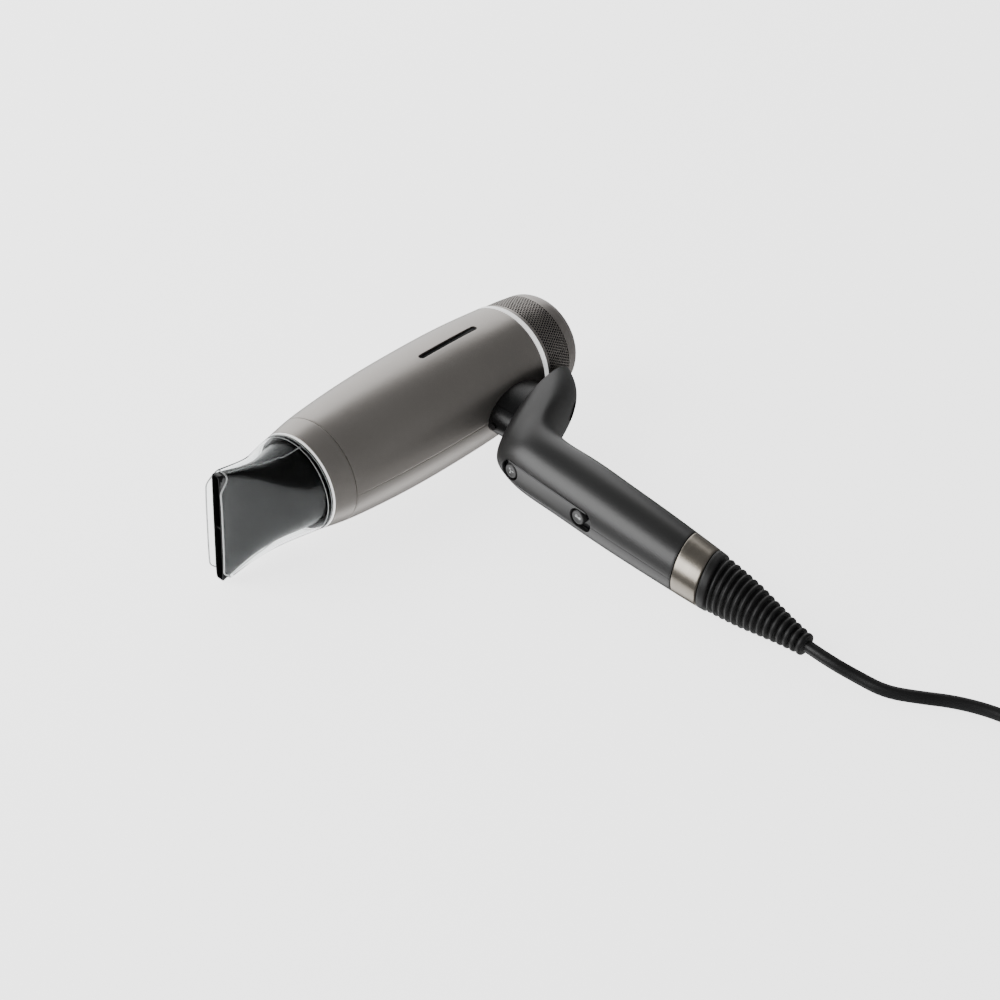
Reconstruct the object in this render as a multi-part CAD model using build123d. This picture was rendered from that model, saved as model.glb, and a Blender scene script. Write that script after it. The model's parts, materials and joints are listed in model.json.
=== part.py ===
from build123d import *
import math
import os

# Hair dryer lying on its side. Millimetres, +Z up, +X from the nozzle to the air filter along the barrel's
# axis, and the handle towards -Y. The dryer is drawn level first, with its barrel's axis on X, the rear ring's
# front face at x = 0 and its left side up (+Z). It is then tilted and raised so that it lies on the floor.

# ---- driving dimensions: barrel ----
barrel_outline = [(-176.6, 30.6), (-162.2, 33.3), (-146.0, 35.2), (-110.0, 37.75), (-70.0, 38.65),
                  (-30.0, 38.1), (0.0, 36.2)]
belly_r = 38.7
barrel_wall = 1.8
collar_seam = -162.2
seam_gap = 0.1
lamp_from, lamp_to, lamp_width = -77.0, -27.0, 3.0
ring_width, ring_r = 4.0, 36.0

# ---- air filter at the rear ----
sleeve_outline = [(4.4, 35.3), (16.0, 34.7), (28.0, 33.3)]
cap_outline = [(28.2, 33.25), (33.0, 32.3), (37.4, 29.8), (39.6, 26.0)]
cap_inside = [(28.2, 31.8), (32.4, 30.8), (36.2, 28.6), (38.2, 25.4)]
filter_wall = 1.2

# ---- neck ----
neck_x, neck_half_x, neck_half_z = -30.5, 25.5, 14.0
neck_top, neck_bottom, neck_wall = -33.0, -58.5, 2.0
neck_slit = -48.6
neck_screw_y = -43.0

# ---- handle: it runs from (handle_x, 0, 0), leaning towards the nozzle ----
handle_x, handle_lean = -55.2, 5.77
handle_wall = 2.2
handle_radii = [(110.0, 19.7), (145.0, 19.4), (175.0, 18.6), (205.0, 17.35), (222.0, 16.45)]
band_from, band_to, band_slant = 202.5, 220.5, 16.0
# The head's cross-sections, from its rim down: front point, rear point (x, y) and half width.
head_sections = [((-62.0, -56.5), (20.5, -38.5), 18.2), ((-73.0, -61.0), (12.5, -50.0), 19.2),
                 ((-79.8, -68.5), (-7.0, -65.5), 19.8), ((-83.0, -80.0), (-36.0, -78.5), 19.9)]

# ---- controls ----
panel_from, panel_to, panel_half = 74.0, 148.0, 6.9
fan_button_t, heat_button_t, button_r = 81.5, 137.0, 4.6
button_gap = 0.25
rear_button_at, rear_button_lean = (-9.0, -66.5), 27.0
rear_button_half, rear_button_r = 8.0, 4.2

# ---- boot and cord ----
boot_radii = [(222.0, 16.3), (231.0, 15.8), (240.0, 14.75), (250.0, 13.3), (260.0, 11.3), (270.0, 9.4),
              (280.0, 7.7), (288.0, 6.7)]
boot_end, rib_count, rib_from = 291.0, 15, 234.0
cord_r = 3.5

# ---- nozzle: x, half height in y, half width in z, squareness of the section ----
shell_sections = [(-178.6, 30.2, 30.2, 2.0), (-189.0, 27.6, 29.4, 2.0), (-200.0, 21.6, 30.0, 2.2),
                  (-211.0, 15.2, 32.2, 2.5), (-222.0, 10.4, 34.8, 3.0), (-232.0, 7.8, 37.0, 3.6),
                  (-239.6, 7.0, 38.2, 4.0)]
core_sections = [(-176.4, 26.4, 26.4, 2.0), (-189.0, 23.4, 26.2, 2.0), (-200.0, 17.4, 27.0, 2.2),
                 (-211.0, 11.4, 29.4, 2.5), (-222.0, 6.4, 32.6, 3.0), (-231.0, 4.0, 35.4, 4.0),
                 (-237.8, 3.6, 37.2, 8.0)]
shell_wall, core_wall = 1.1, 1.2
notch_depth, notch_half = 6.5, 27.0

# ---- the cord on the floor, its coil and its plug (x, y, z) ----
cord_route = [(-84.5, -288.1, 10.1), (-86.0, -303.0, 8.6), (-83.8, -318.0, 5.2), (-83.0, -335.0, 3.5),
              (-75.8, -350.5, 3.5), (-66.3, -367.5, 3.5), (-60.8, -387.0, 3.5), (-60.6, -407.0, 3.6),
              (-61.0, -426.0, 4.2), (-60.5, -443.0, 4.5)]
tail_route = [(-42.8, -481.8, 22.5), (-21.0, -493.5, 20.6), (4.9, -493.4, 18.4), (29.0, -486.0, 16.0),
              (48.0, -469.5, 14.2), (60.0, -446.0, 13.2), (60.0, -421.0, 13.0)]
coil_x, coil_y, coil_low, coil_high = -13.5, -440.0, 1.0, 28.1
coil_inner, coil_outer = 26.5, 50.5
tie_width, tie_thick = 9.0, 0.9
plug_boot_long, plug_long, plug_half_wide, plug_half_high = 22.0, 34.0, 17.5, 12.9
pin_r, pin_long, pin_apart = 2.4, 18.6, 19.0
pin_root_r, pin_root, pin_stand = 1.9, 6.0, 0.4

lie_tilt = math.degrees(math.asin((belly_r - 15.95) / 231.0))
in_handle = Plane(origin=(handle_x, 0, 0),
                  x_dir=(math.cos(math.radians(handle_lean)), -math.sin(math.radians(handle_lean)), 0),
                  z_dir=(-math.sin(math.radians(handle_lean)), -math.cos(math.radians(handle_lean)), 0)).location

level = {}          # node name -> solids in the level dryer's frame
on_floor = {}       # node name -> solids already in the final frame


def along_x(x_from, x_to, r, r_in=0.0, y=0.0, z=0.0):
    """A rod or tube whose axis is parallel to X."""
    body = Cylinder(r, x_to - x_from)
    if r_in:
        body -= Cylinder(r_in, x_to - x_from + 1)
    return Pos((x_from + x_to) / 2, y, z) * Rot(Y=90) * body


def block(x_range, y_range, z_range):
    size = [high - low for low, high in (x_range, y_range, z_range)]
    middle = [(high + low) / 2 for low, high in (x_range, y_range, z_range)]
    return Pos(*middle) * Box(*size)


def spun(outline, wall=0.0):
    """Turn an outline of (x, r) points about X, solid or as a shell of the given wall."""
    outer = Spline(*outline)
    (x_from, r_from), (x_to, r_to) = outline[0], outline[-1]
    if not wall:
        edges = [outer, Line((x_to, r_to), (x_to, 0)), Line((x_to, 0), (x_from, 0)),
                 Line((x_from, 0), (x_from, r_from))]
        return revolve(make_face(edges), axis=Axis.X)
    inner = Spline(*[(x, r - wall) for x, r in outline])
    edges = [outer, Line((x_to, r_to), (x_to, r_to - wall)), inner, Line((x_from, r_from - wall), (x_from, r_from))]
    return revolve(make_face(edges), axis=Axis.X)


def spun_down(outline, wall=0.0):
    """The same about the handle's axis, for (distance down the handle, r) points."""
    turned = spun(outline, wall)
    return in_handle * (Rot(Y=-90) * turned)


def squared_loop(half_a, half_b, power, count=16):
    """A closed section between an ellipse (power 2) and a rectangle with round corners (higher powers)."""
    points = []
    for k in range(count):
        angle = 2 * math.pi * k / count
        c, s = math.cos(angle), math.sin(angle)
        points.append((half_a * math.copysign(abs(c) ** (2 / power), c),
                       half_b * math.copysign(abs(s) ** (2 / power), s)))
    return Face(Wire([Spline(*points, periodic=True)]))


def nozzle_loft(sections, inset=0.0):
    faces = []
    for x, half_y, half_z, power in sections:
        plane = Plane(origin=(x, 0, 0), x_dir=(0, 1, 0), z_dir=(1, 0, 0))
        faces.append(plane * squared_loop(half_y - inset, half_z - inset, power))
    return loft(faces)


def handle_section(front, rear, half_width):
    """An oval across the handle, between a front and a rear point of the mid-plane."""
    middle = Vector((front[0] + rear[0]) / 2, (front[1] + rear[1]) / 2, 0)
    rearward = Vector(rear[0] - front[0], rear[1] - front[1], 0)
    plane = Plane(origin=middle, x_dir=rearward, z_dir=rearward.cross(Vector(0, 0, 1)))
    return plane * squared_loop(rearward.length / 2, half_width, 2.0)


def handle_ring(t, r):
    """Front and rear points of a round section at distance t down the handle."""
    lean = math.radians(handle_lean)
    x, y = handle_x - t * math.sin(lean), -t * math.cos(lean)
    return (x - r * math.cos(lean), y + r * math.sin(lean)), (x + r * math.cos(lean), y - r * math.sin(lean)), r


def handle_form():
    sections = head_sections + [handle_ring(t, r) for t, r in handle_radii]
    return loft([handle_section(*section) for section in sections])


def handle_bore():
    """The round hollow down the handle, and the pocket that joins it to the neck."""
    bore = spun_down([(70.0, 15.5), (88.0, 16.8)] + [(t, r - handle_wall) for t, r in handle_radii]
                     + [(226.0, 14.0)])
    plane = Plane(origin=(-50.0, -92.0, 0), x_dir=(1, 0, 0), z_dir=(0, 1, 0))
    return bore + extrude(plane * Ellipse(15.0, 12.0), 92.0 + neck_bottom)


def slanted(t, above):
    """A big block above or below the slanted cut that crosses the handle's axis at t."""
    side = -60 if above else 60
    return in_handle * (Pos(0, 0, t) * Rot(Y=band_slant) * Pos(0, 0, side) * Box(120, 120, 120))


def left_half(whole):
    return whole & block((-400, 400), (-400, 400), (0.02, 400))


def capsule(length, width, depth):
    return extrude(SlotOverall(length, width), depth, both=True)


def neck_prism(grow=0.0):
    plane = Plane(origin=(neck_x, neck_bottom, 0), x_dir=(1, 0, 0), z_dir=(0, 1, 0))
    return extrude(plane * Ellipse(neck_half_x + grow, neck_half_z + grow), neck_top - neck_bottom)


def barrel():
    whole = spun(barrel_outline, barrel_wall)
    neck_hole = neck_prism(0.15)
    slot = Pos((lamp_from + lamp_to) / 2, 0, 38) * capsule(lamp_to - lamp_from, lamp_width, 6)
    lens = Pos((lamp_from + lamp_to) / 2, 0, 38) * capsule(lamp_to - lamp_from - 0.2, lamp_width - 0.2, 6)
    side = whole & block((collar_seam + seam_gap, 10), (-60, 60), (-60, 60))
    level["barrel_left_shell"] = left_half(side - neck_hole - slot)
    level["barrel_right_shell"] = mirror(left_half(side - neck_hole), Plane.XY)
    level["lamp_lens"] = lens & spun([(x, r - 0.35) for x, r in barrel_outline], barrel_wall - 0.6)
    level["lamp_board"] = block((lamp_from - 2, lamp_to + 2), (-3.5, 3.5), (33.2, 34.4))
    level["front_collar"] = whole & block((-200, collar_seam - seam_gap), (-60, 60), (-60, 60))
    level["collar_trim"] = along_x(-177.5, -176.65, 30.4, 28.4)
    level["rear_ring"] = along_x(0.05, ring_width, ring_r, 33.4)
    level["air_duct"] = along_x(-166.0, -92.0, 27.8, 26.8)


def outlet():
    grille = along_x(-175.6, -173.4, 28.2, 26.6)
    for r in (7.5, 13.5, 19.5):
        grille += along_x(-175.6, -173.4, r + 0.7, r - 0.7)
    for k in range(8):
        grille += Rot(X=45 * k) * block((-175.6, -173.4), (7.5, 27.0), (-0.6, 0.6))
    level["outlet_grille"] = grille
    magnets = []
    for k in range(4):
        angle = math.radians(45 + 90 * k)
        magnets.append(along_x(-172.5, -169.0, 1.6, 0.0, 27.9 * math.cos(angle), 27.9 * math.sin(angle)))
    level["collar_magnets"] = Compound(magnets)


def heater():
    winding = [Pos(x, 0, 0) * Rot(Y=90) * Torus(20.5, 0.9) for x in range(-158, -103, 6)]
    grooves = [Pos(x, 0, 0) * Rot(Y=90) * Torus(20.5, 1.1) for x in range(-158, -103, 6)]
    frame = block((-165, -98), (-25.5, 25.5), (-0.5, 0.5)) + block((-165, -98), (-0.5, 0.5), (-25.5, 25.5))
    for groove in grooves:
        frame -= groove
    level["heater_frame"] = frame
    level["heater_winding"] = Compound(winding)
    level["thermal_cutout"] = block((-108, -99), (3, 8), (3, 7))
    level["ioniser"] = block((-168, -160), (5, 12), (4, 10)) + along_x(-171, -168, 0.5, 0, 8.5, 7)


def motor():
    housing = along_x(-78, -40, 15.0, 13.4) + along_x(-78, -76.4, 14.0, 5.15) + along_x(-41.6, -40, 14.0, 5.15)
    level["motor_housing"] = housing
    vanes = along_x(-88, -20, 27.4, 26.0)
    for k in range(9):
        vanes += Rot(X=40 * k) * block((-74, -58), (15.1, 26.4), (-0.6, 0.6))
    level["fan_shroud"] = vanes + along_x(-74, -58, 16.2, 15.1)
    level["stator"] = along_x(-68, -48, 13.2, 8.0)
    level["bearings"] = Compound([along_x(-78, -74.5, 5.0, 2.05), along_x(-43.5, -40, 5.0, 2.05)])
    level["rotor"] = along_x(-79, -24, 2.0) + along_x(-67.5, -48.5, 7.2)
    impeller = along_x(-37, -24, 10.5, 2.0)
    for k in range(11):
        impeller += Rot(X=360 * k / 11) * Pos(-30.5, 17.2, 0) * Rot(Y=58) * Box(1.0, 15.0, 11.5)
    level["impeller"] = impeller
    level["motor_board"] = along_x(-82.0, -80.5, 13.0)
    level["mount_rings"] = Compound([along_x(-86, -82, 36.2, 27.5), along_x(-57.5, -53.5, 29.5, 27.5)])


def air_filter():
    frame = along_x(-8.0, 4.2, 32.8, 30.8)
    for k in range(6):
        frame += Rot(X=60 * k + 30) * block((0.0, 3.0), (11.0, 31.5), (-0.9, 0.9))
    level["rear_frame"] = frame + along_x(0.0, 3.0, 12.0, 10.0)
    level["filter_sleeve"] = spun(sleeve_outline, filter_wall)
    rear, inside = cap_outline[-1][0], cap_inside[-1][0]
    rim = [Spline(*cap_outline), Line(cap_outline[-1], (rear, 0)), Line((rear, 0), (inside, 0)),
           Line((inside, 0), cap_inside[-1]), Spline(*cap_inside), Line(cap_inside[0], cap_outline[0])]
    level["filter_cap"] = revolve(make_face(rim), axis=Axis.X)
    level["filter_mesh"] = along_x(5.0, 26.5, 31.2, 30.8) + along_x(5.0, 7.0, 33.6, 30.8)


def neck():
    shell = neck_prism() - neck_core()
    screw = along_x(-56.6, -50.0, 1.2, 0, neck_screw_y) + along_x(-56.9, -55.0, 2.0, 0, neck_screw_y)
    screw_hole = along_x(-60.0, -49.0, 1.3, 0, neck_screw_y) + along_x(-60.0, -54.95, 2.15, 0, neck_screw_y)
    reach = (-60, 20)
    level["neck_cover"] = (shell & block((-80, neck_slit - 0.1), (-80, 0), reach)) - screw_hole
    level["neck_shell"] = shell & block((neck_slit + 0.1, 40), (-80, 0), reach)
    level["neck_screw"] = screw


def neck_core():
    plane = Plane(origin=(neck_x, neck_bottom - 1, 0), x_dir=(1, 0, 0), z_dir=(0, 1, 0))
    return extrude(plane * Ellipse(neck_half_x - neck_wall, neck_half_z - neck_wall), neck_top - neck_bottom + 2)


def handle_local(t, depth_from, depth_to, shape):
    """A flat shape on the front of the handle at t, extruded between two distances in front of the axis."""
    plane = Plane(origin=(0, 0, t), x_dir=(0, 0, 1), z_dir=(-1, 0, 0))
    return in_handle * (Pos(-depth_from, 0, 0) * extrude(plane * shape, depth_to - depth_from))


def handle():
    middle = (panel_from + panel_to) / 2
    opening = handle_local(middle, 10, 40, SlotOverall(panel_to - panel_from, 2 * panel_half))
    whole = handle_form() - slanted(band_from, False)
    for hollow in (handle_bore(), neck_prism(0.15), opening, rear_button_hole()):
        whole -= hollow
    level["handle_left_shell"] = left_half(whole)
    level["handle_right_shell"] = mirror(level["handle_left_shell"], Plane.XY)
    panel = handle_local(middle, 14.2, 17.8, SlotOverall(panel_to - panel_from - 0.3, 2 * panel_half - 0.3))
    for t in (fan_button_t, heat_button_t):
        panel -= handle_local(t, 10, 30, Circle(button_r + button_gap))
    level["control_panel"] = panel
    level["fan_button"] = handle_local(fan_button_t, 13.2, 18.7, Circle(button_r))
    level["heat_button"] = handle_local(heat_button_t, 13.2, 18.7, Circle(button_r))
    level["control_board"] = handle_local(middle, 7.4, 9.0, Rectangle(panel_to - panel_from, 16))
    switches = [handle_local(t, 9.1, 11.9, Rectangle(6, 6)) for t in (fan_button_t, heat_button_t)]
    level["button_switches"] = Compound(switches)
    level["rear_button"] = rear_button_solid()
    level["power_board"] = handle_local(176, -2.0, -0.4, Rectangle(40, 22))
    level["handle_band"] = band()


def rear_button_place(depth):
    lean = math.radians(rear_button_lean)
    out = Vector(math.sin(lean), -math.cos(lean), 0)
    along = Vector(math.cos(lean), math.sin(lean), 0)
    return Plane(origin=Vector(*rear_button_at, 0) + out * depth, x_dir=along, z_dir=out)


def rear_button_hole():
    shape = SlotOverall(2 * rear_button_half + 2 * button_gap, 2 * rear_button_r + 2 * button_gap)
    return extrude(rear_button_place(-7.5) * shape, 20)


def rear_button_solid():
    return extrude(rear_button_place(-4.2) * SlotOverall(2 * rear_button_half, 2 * rear_button_r), 4.0)


def band():
    sleeve = spun_down([(190.0, 18.0), (205.0, 17.35), (222.0, 16.45), (235.0, 15.7)], 1.6)
    return sleeve - slanted(band_from + 0.1, True) - slanted(band_to - 0.1, False)


def boot():
    collar = [(210.0, 16.9), (222.0, 16.35), (231.0, 15.8), (234.0, 14.6)]
    core = spun_down(collar + [(t, r - 1.2) for t, r in boot_radii[2:]])
    core -= slanted(band_to + 0.1, True)
    tail = in_handle * (Pos(0, 0, (286 + boot_end) / 2) * Cylinder(5.6, boot_end - 286))
    pitch = (boot_end - 4 - rib_from) / rib_count
    ribs = core + tail
    for k in range(rib_count):
        t = rib_from + pitch * (k + 0.5)
        ribs += in_handle * (Pos(0, 0, t) * Cylinder(boot_r(t), 0.6 * pitch))
    level["boot"] = ribs
    level["cord_clamp"] = in_handle * (Pos(0, 0, 208) * (Cylinder(14.5, 5) - Cylinder(cord_r, 6)))


def boot_r(t):
    for (t_low, r_low), (t_high, r_high) in zip(boot_radii, boot_radii[1:]):
        if t <= t_high:
            return r_low + (r_high - r_low) * (t - t_low) / (t_high - t_low)
    return boot_radii[-1][1]


def nozzle():
    shell = nozzle_loft(shell_sections) - nozzle_loft(shell_sections, shell_wall)
    core = nozzle_loft(core_sections) - nozzle_loft(core_sections, core_wall)
    for side in (1, -1):
        notch = Polyline((-245, side * notch_half), (-239.5, side * notch_half), (-239.6 + notch_depth, side * 37.5),
                         (-239.6 + notch_depth, side * 45), (-245, side * 45), close=True)
        plane = Plane(origin=(0, 0, 0), x_dir=(1, 0, 0), z_dir=(0, -1, 0))
        shell -= extrude(plane * make_face(notch), 60, both=True)
    level["nozzle_shell"] = shell
    level["nozzle_core"] = core + block((-237.2, -230), (-2.4, 2.4), (-0.5, 0.5))
    level["nozzle_ring"] = along_x(-178.5, -177.6, 30.2, 26.9)


def corner_radii(route):
    """Each corner's radius: as large as its two runs allow."""
    radii = []
    for before, corner, after in zip(route, route[1:], route[2:]):
        arriving, leaving = Vector(*corner) - Vector(*before), Vector(*after) - Vector(*corner)
        half_turn = math.radians(arriving.get_angle(leaving) / 2)
        radii.append(0.45 * min(arriving.length, leaving.length) / math.tan(half_turn))
    return radii


def cord_tube(name, route):
    radii = corner_radii(route)
    path = FilletPolyline(*route, radius=radii)
    start = Plane(origin=route[0], z_dir=Vector(*route[1]) - Vector(*route[0]))
    tube = sweep(start * Circle(cord_r), path=path)
    print(name, "bend radii", [round(r) for r in radii], "length", round(path.length),
          "volume share", round(tube.volume / (math.pi * cord_r ** 2 * path.length), 4))
    on_floor[name] = tube


def cord():
    cord_tube("cord", cord_route)
    cord_tube("cord_tail", tail_route)
    tall = coil_high - coil_low
    ring = Cylinder(coil_outer, tall) - Cylinder(coil_inner, tall)
    on_floor["cord_coil"] = Pos(coil_x, coil_y, coil_low + tall / 2) * fillet(ring.edges(), 5.0)
    wide = coil_outer - coil_inner
    strap = Box(tie_width, wide + 2 * tie_thick + 1.0, tall + 2 * tie_thick) - Box(20, wide + 1.0, tall + 0.2)
    on_floor["cord_tie"] = Pos(coil_x, coil_y + (coil_outer + coil_inner) / 2, coil_low + tall / 2) * strap


def plug():
    x, y, z = tail_route[-1]
    rear, front = y + plug_boot_long, y + plug_boot_long + plug_long
    pins = []
    for side in (-1, 1):
        at = x + side * pin_apart / 2
        pin = Pos(at, front + pin_stand + pin_long / 2, z) * Rot(X=90) * Cylinder(pin_r, pin_long)
        root = Pos(at, front + (pin_stand - pin_root) / 2, z) * Rot(X=90) * Cylinder(pin_root_r, pin_root + pin_stand)
        pins.append(pin + root)
    sections = [(rear, 0.62), (rear + 10, 0.9), (rear + 22, 1.0), (front, 1.0)]
    faces = []
    for at, share in sections:
        plane = Plane(origin=(x, at, z), x_dir=(1, 0, 0), z_dir=(0, 1, 0))
        faces.append(plane * squared_loop(plug_half_wide * share, plug_half_high * share, 2.6))
    body = loft(faces)
    for side in (-1, 1):
        body -= Pos(x + side * pin_apart / 2, front, z) * Rot(X=90) * Cylinder(pin_root_r + 0.02, 2 * pin_root + 0.1)
    on_floor["plug_body"] = body
    on_floor["plug_pins"] = Compound(pins)
    on_floor["plug_boot"] = Pos(x, y + plug_boot_long / 2, z) * Rot(X=-90) * Cone(4.6, 6.6, plug_boot_long - 0.06)


def wiring():
    """The mains lead and the two signal leads, up the handle and through the neck."""
    leads = [in_handle * (Pos(n, z, 195 - 44) * Cylinder(1.0, 100)) for n, z in ((8, -6), (8, 6), (9, 0))]
    level["inner_leads"] = Compound(leads)


def write_parts():
    lie = Pos(0, 0, belly_r) * Rot(X=lie_tilt)
    placed = {name: lie * shape for name, shape in level.items()}
    box = Compound(list(placed.values())).bounding_box()
    middle = Vector((box.min.X + box.max.X) / 2, (box.min.Y + box.max.Y) / 2, 0)
    print("tilt", round(lie_tilt, 4), "middle", round(middle.X, 3), round(middle.Y, 3), "lowest", round(box.min.Z, 3))
    placed.update(on_floor)
    os.makedirs("parts", exist_ok=True)
    for name, shape in placed.items():
        export_step(Pos(-middle) * shape, "parts/" + name + ".step")


for build in (barrel, outlet, heater, motor, air_filter, neck, handle, boot, nozzle, wiring, cord, plug):
    build()
write_parts()
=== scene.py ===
import json
import math

import bmesh
import bpy
from mathutils import Matrix, Vector


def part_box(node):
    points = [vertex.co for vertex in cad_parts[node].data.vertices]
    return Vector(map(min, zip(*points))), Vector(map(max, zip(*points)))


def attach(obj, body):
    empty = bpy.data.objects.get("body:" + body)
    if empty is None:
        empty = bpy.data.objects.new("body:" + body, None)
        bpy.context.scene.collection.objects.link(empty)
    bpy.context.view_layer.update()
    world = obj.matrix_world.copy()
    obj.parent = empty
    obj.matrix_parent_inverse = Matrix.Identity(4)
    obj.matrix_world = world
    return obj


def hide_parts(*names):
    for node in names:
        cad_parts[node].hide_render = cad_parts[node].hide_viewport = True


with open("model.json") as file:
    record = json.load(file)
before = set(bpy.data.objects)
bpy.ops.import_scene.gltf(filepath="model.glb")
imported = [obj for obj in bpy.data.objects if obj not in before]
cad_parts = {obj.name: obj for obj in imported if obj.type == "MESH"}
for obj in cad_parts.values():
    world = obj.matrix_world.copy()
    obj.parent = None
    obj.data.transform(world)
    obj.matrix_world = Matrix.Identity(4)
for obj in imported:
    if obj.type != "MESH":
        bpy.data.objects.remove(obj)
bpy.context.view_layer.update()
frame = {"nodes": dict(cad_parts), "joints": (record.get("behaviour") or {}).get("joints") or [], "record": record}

print("frame loaded:", len(frame["nodes"]), "nodes")

# Pieces are drawn in the level dryer's millimetres: x along the barrel from the rear ring, the handle towards
# -y and the dryer's left side up. placeDryer lays them down as the frame's own joints say.
joints = {joint["name"]: joint for joint in frame["joints"]}
turnPoint = Vector(joints["nozzle_turn"]["pos_m"])
pressAxis = Vector(joints["fan_button_press"]["axis"])
nozzleSeatX = -0.178                                   # the nozzle's turning point, seen from the rear ring
lieTilt = math.atan2(-pressAxis.z, -pressAxis.y)       # how far the dryer rolls to lie on its handle
ringOrigin = turnPoint - Vector((nozzleSeatX, 0, 0))
floorOrigin = Vector((ringOrigin.x, ringOrigin.y, 0))
placeDryer = Matrix.Translation(ringOrigin) @ Matrix.Rotation(lieTilt, 4, "X") @ Matrix.Scale(0.001, 4)


def addObject(name, data):
    obj = bpy.data.objects.new(name, data)
    bpy.context.scene.collection.objects.link(obj)
    return obj


cameraValues = {
    "place": (-0.7682, -0.6885, 0.6373),   # metres from the point under the rear ring
    "aim": (0.6135, 0.5529, -0.5638),
    "roll": -1.236,
    "lens": 67.97, "sensor": 36.0,         # millimetres
    "farthest": 20.0,
}


def makeCamera(values):
    data = bpy.data.cameras.new("studioCamera")
    data.lens = values["lens"]
    data.sensor_width = values["sensor"]
    data.clip_end = values["farthest"]
    camera = addObject("studioCamera", data)
    aim = Vector(values["aim"]).normalized()
    level = aim.cross(Vector((0, 0, 1))).normalized()
    roll = math.radians(values["roll"])
    right = level * math.cos(roll) + level.cross(aim) * math.sin(roll)
    up = right.cross(aim)
    turned = Matrix((right, up, -aim)).transposed().to_4x4()
    camera.matrix_world = Matrix.Translation(floorOrigin + Vector(values["place"])) @ turned
    bpy.context.scene.camera = camera


makeCamera(cameraValues)


def hexColour(code):
    # sRGB hex to the linear colour that shaders take
    parts = [int(code[k:k + 2], 16) / 255 for k in (1, 3, 5)]
    return tuple(c / 12.92 if c <= 0.04045 else ((c + 0.055) / 1.055) ** 2.4 for c in parts) + (1.0,)


def addNode(tree, kind, settings=None, links=None):
    node = tree.nodes.new(kind)
    for name, value in (settings or {}).items():
        setattr(node, name, value)
    for socket, value in (links or {}).items():
        if isinstance(value, bpy.types.NodeSocket):
            tree.links.new(value, node.inputs[socket])
        else:
            node.inputs[socket].default_value = value
    return node


def rampOver(tree, factor, stops):
    ramp = addNode(tree, "ShaderNodeValToRGB", links={"Fac": factor})
    elements = ramp.color_ramp.elements
    elements[0].position, elements[0].color = stops[0]
    elements[1].position, elements[1].color = stops[-1]
    for place, colour in stops[1:-1]:
        elements.new(place).color = colour
    return ramp.outputs["Color"]


def emptyMaterial(name):
    material = bpy.data.materials.new(name)
    material.use_nodes = True
    material.node_tree.nodes.clear()
    return material, material.node_tree


def makeFinish(name, values):
    # One finish: a colour that drifts between two tones, a fine grain that dulls it and lifts the surface,
    # and wide smears such as handling leaves. Scales are feature sizes in millimetres.
    material, tree = emptyMaterial(name)
    where = addNode(tree, "ShaderNodeTexCoord").outputs["Object"]
    if values.get("stretch"):
        mapping = addNode(tree, "ShaderNodeMapping", links={"Vector": where, "Scale": values["stretch"]})
        where = mapping.outputs["Vector"]
    drift = addNode(tree, "ShaderNodeTexNoise", links={
        "Vector": where, "Scale": 1000 / values.get("driftMm", 30), "Detail": 3.0, "Roughness": 0.55})
    grain = addNode(tree, "ShaderNodeTexNoise", links={
        "Vector": where, "Scale": 1000 / values.get("grainMm", 0.5), "Detail": 4.0, "Roughness": 0.6})
    colour = rampOver(tree, drift.outputs["Fac"], [
        (0.3, hexColour(values["dark"])), (0.7, hexColour(values["light"]))])
    if values.get("fleck"):
        fleck = addNode(tree, "ShaderNodeMix", {"data_type": "RGBA"}, {
            0: rampOver(tree, grain.outputs["Fac"], [(0.56, (0, 0, 0, 1)), (0.72, (1, 1, 1, 1))]),
            6: colour, 7: hexColour(values["fleck"])})
        colour = fleck.outputs[2]
    rough = addNode(tree, "ShaderNodeMapRange", links={
        "Value": grain.outputs["Fac"], "From Min": 0.3, "From Max": 0.7,
        "To Min": values["roughness"] - values.get("roughSpread", 0.04),
        "To Max": values["roughness"] + values.get("roughSpread", 0.04)})
    bump = addNode(tree, "ShaderNodeBump", links={
        "Height": grain.outputs["Fac"], "Strength": values.get("bump", 0.15),
        "Distance": values.get("bumpMm", 0.02) / 1000})
    shader = addNode(tree, "ShaderNodeBsdfPrincipled", links={
        "Base Color": colour, "Roughness": rough.outputs["Result"], "Normal": bump.outputs["Normal"]})
    for socket, value in values.get("shader", {}).items():
        shader.inputs[socket].default_value = value
    addNode(tree, "ShaderNodeOutputMaterial", links={"Surface": shader.outputs["BSDF"]})
    return material


# Metallic lacquer on moulded polyamide: fine aluminium flakes under a satin clear coat, so its
# highlights are broad and soft.
bronzeLacquer = makeFinish("bronzeMetallicLacquer", {
    "dark": "#B2ADA8", "light": "#BAB5B0", "fleck": "#CFCAC5", "driftMm": 60, "grainMm": 0.25,
    "roughness": 0.36, "roughSpread": 0.03, "bump": 0.08, "bumpMm": 0.01,
    "shader": {"Metallic": 0.88, "Coat Weight": 0.12, "Coat Roughness": 0.35}})
# Soft-sheen lacquer on ABS: charcoal, with a faint grey bloom towards the edges.
charcoalLacquer = makeFinish("charcoalSatinLacquer", {
    "dark": "#262626", "light": "#2B2B2B", "fleck": "#363636", "driftMm": 45, "grainMm": 0.3,
    "roughness": 0.36, "bump": 0.1, "bumpMm": 0.01, "shader": {"IOR": 1.62}})
# Polished black ABS: deep and mirror-like, with faint handling smears.
blackGloss = makeFinish("polishedBlackAbs", {
    "dark": "#08080A", "light": "#0E0E10", "driftMm": 20, "grainMm": 1.6, "roughness": 0.16,
    "roughSpread": 0.05, "bump": 0.03, "shader": {"IOR": 1.53}})
# Satin black ABS of the neck: moulded against a fine spark-eroded face.
neckPlastic = makeFinish("satinBlackAbs", {
    "dark": "#0A0A0B", "light": "#101011", "driftMm": 15, "grainMm": 0.35, "roughness": 0.3,
    "bump": 0.1, "bumpMm": 0.01, "shader": {"IOR": 1.45}})
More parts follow.
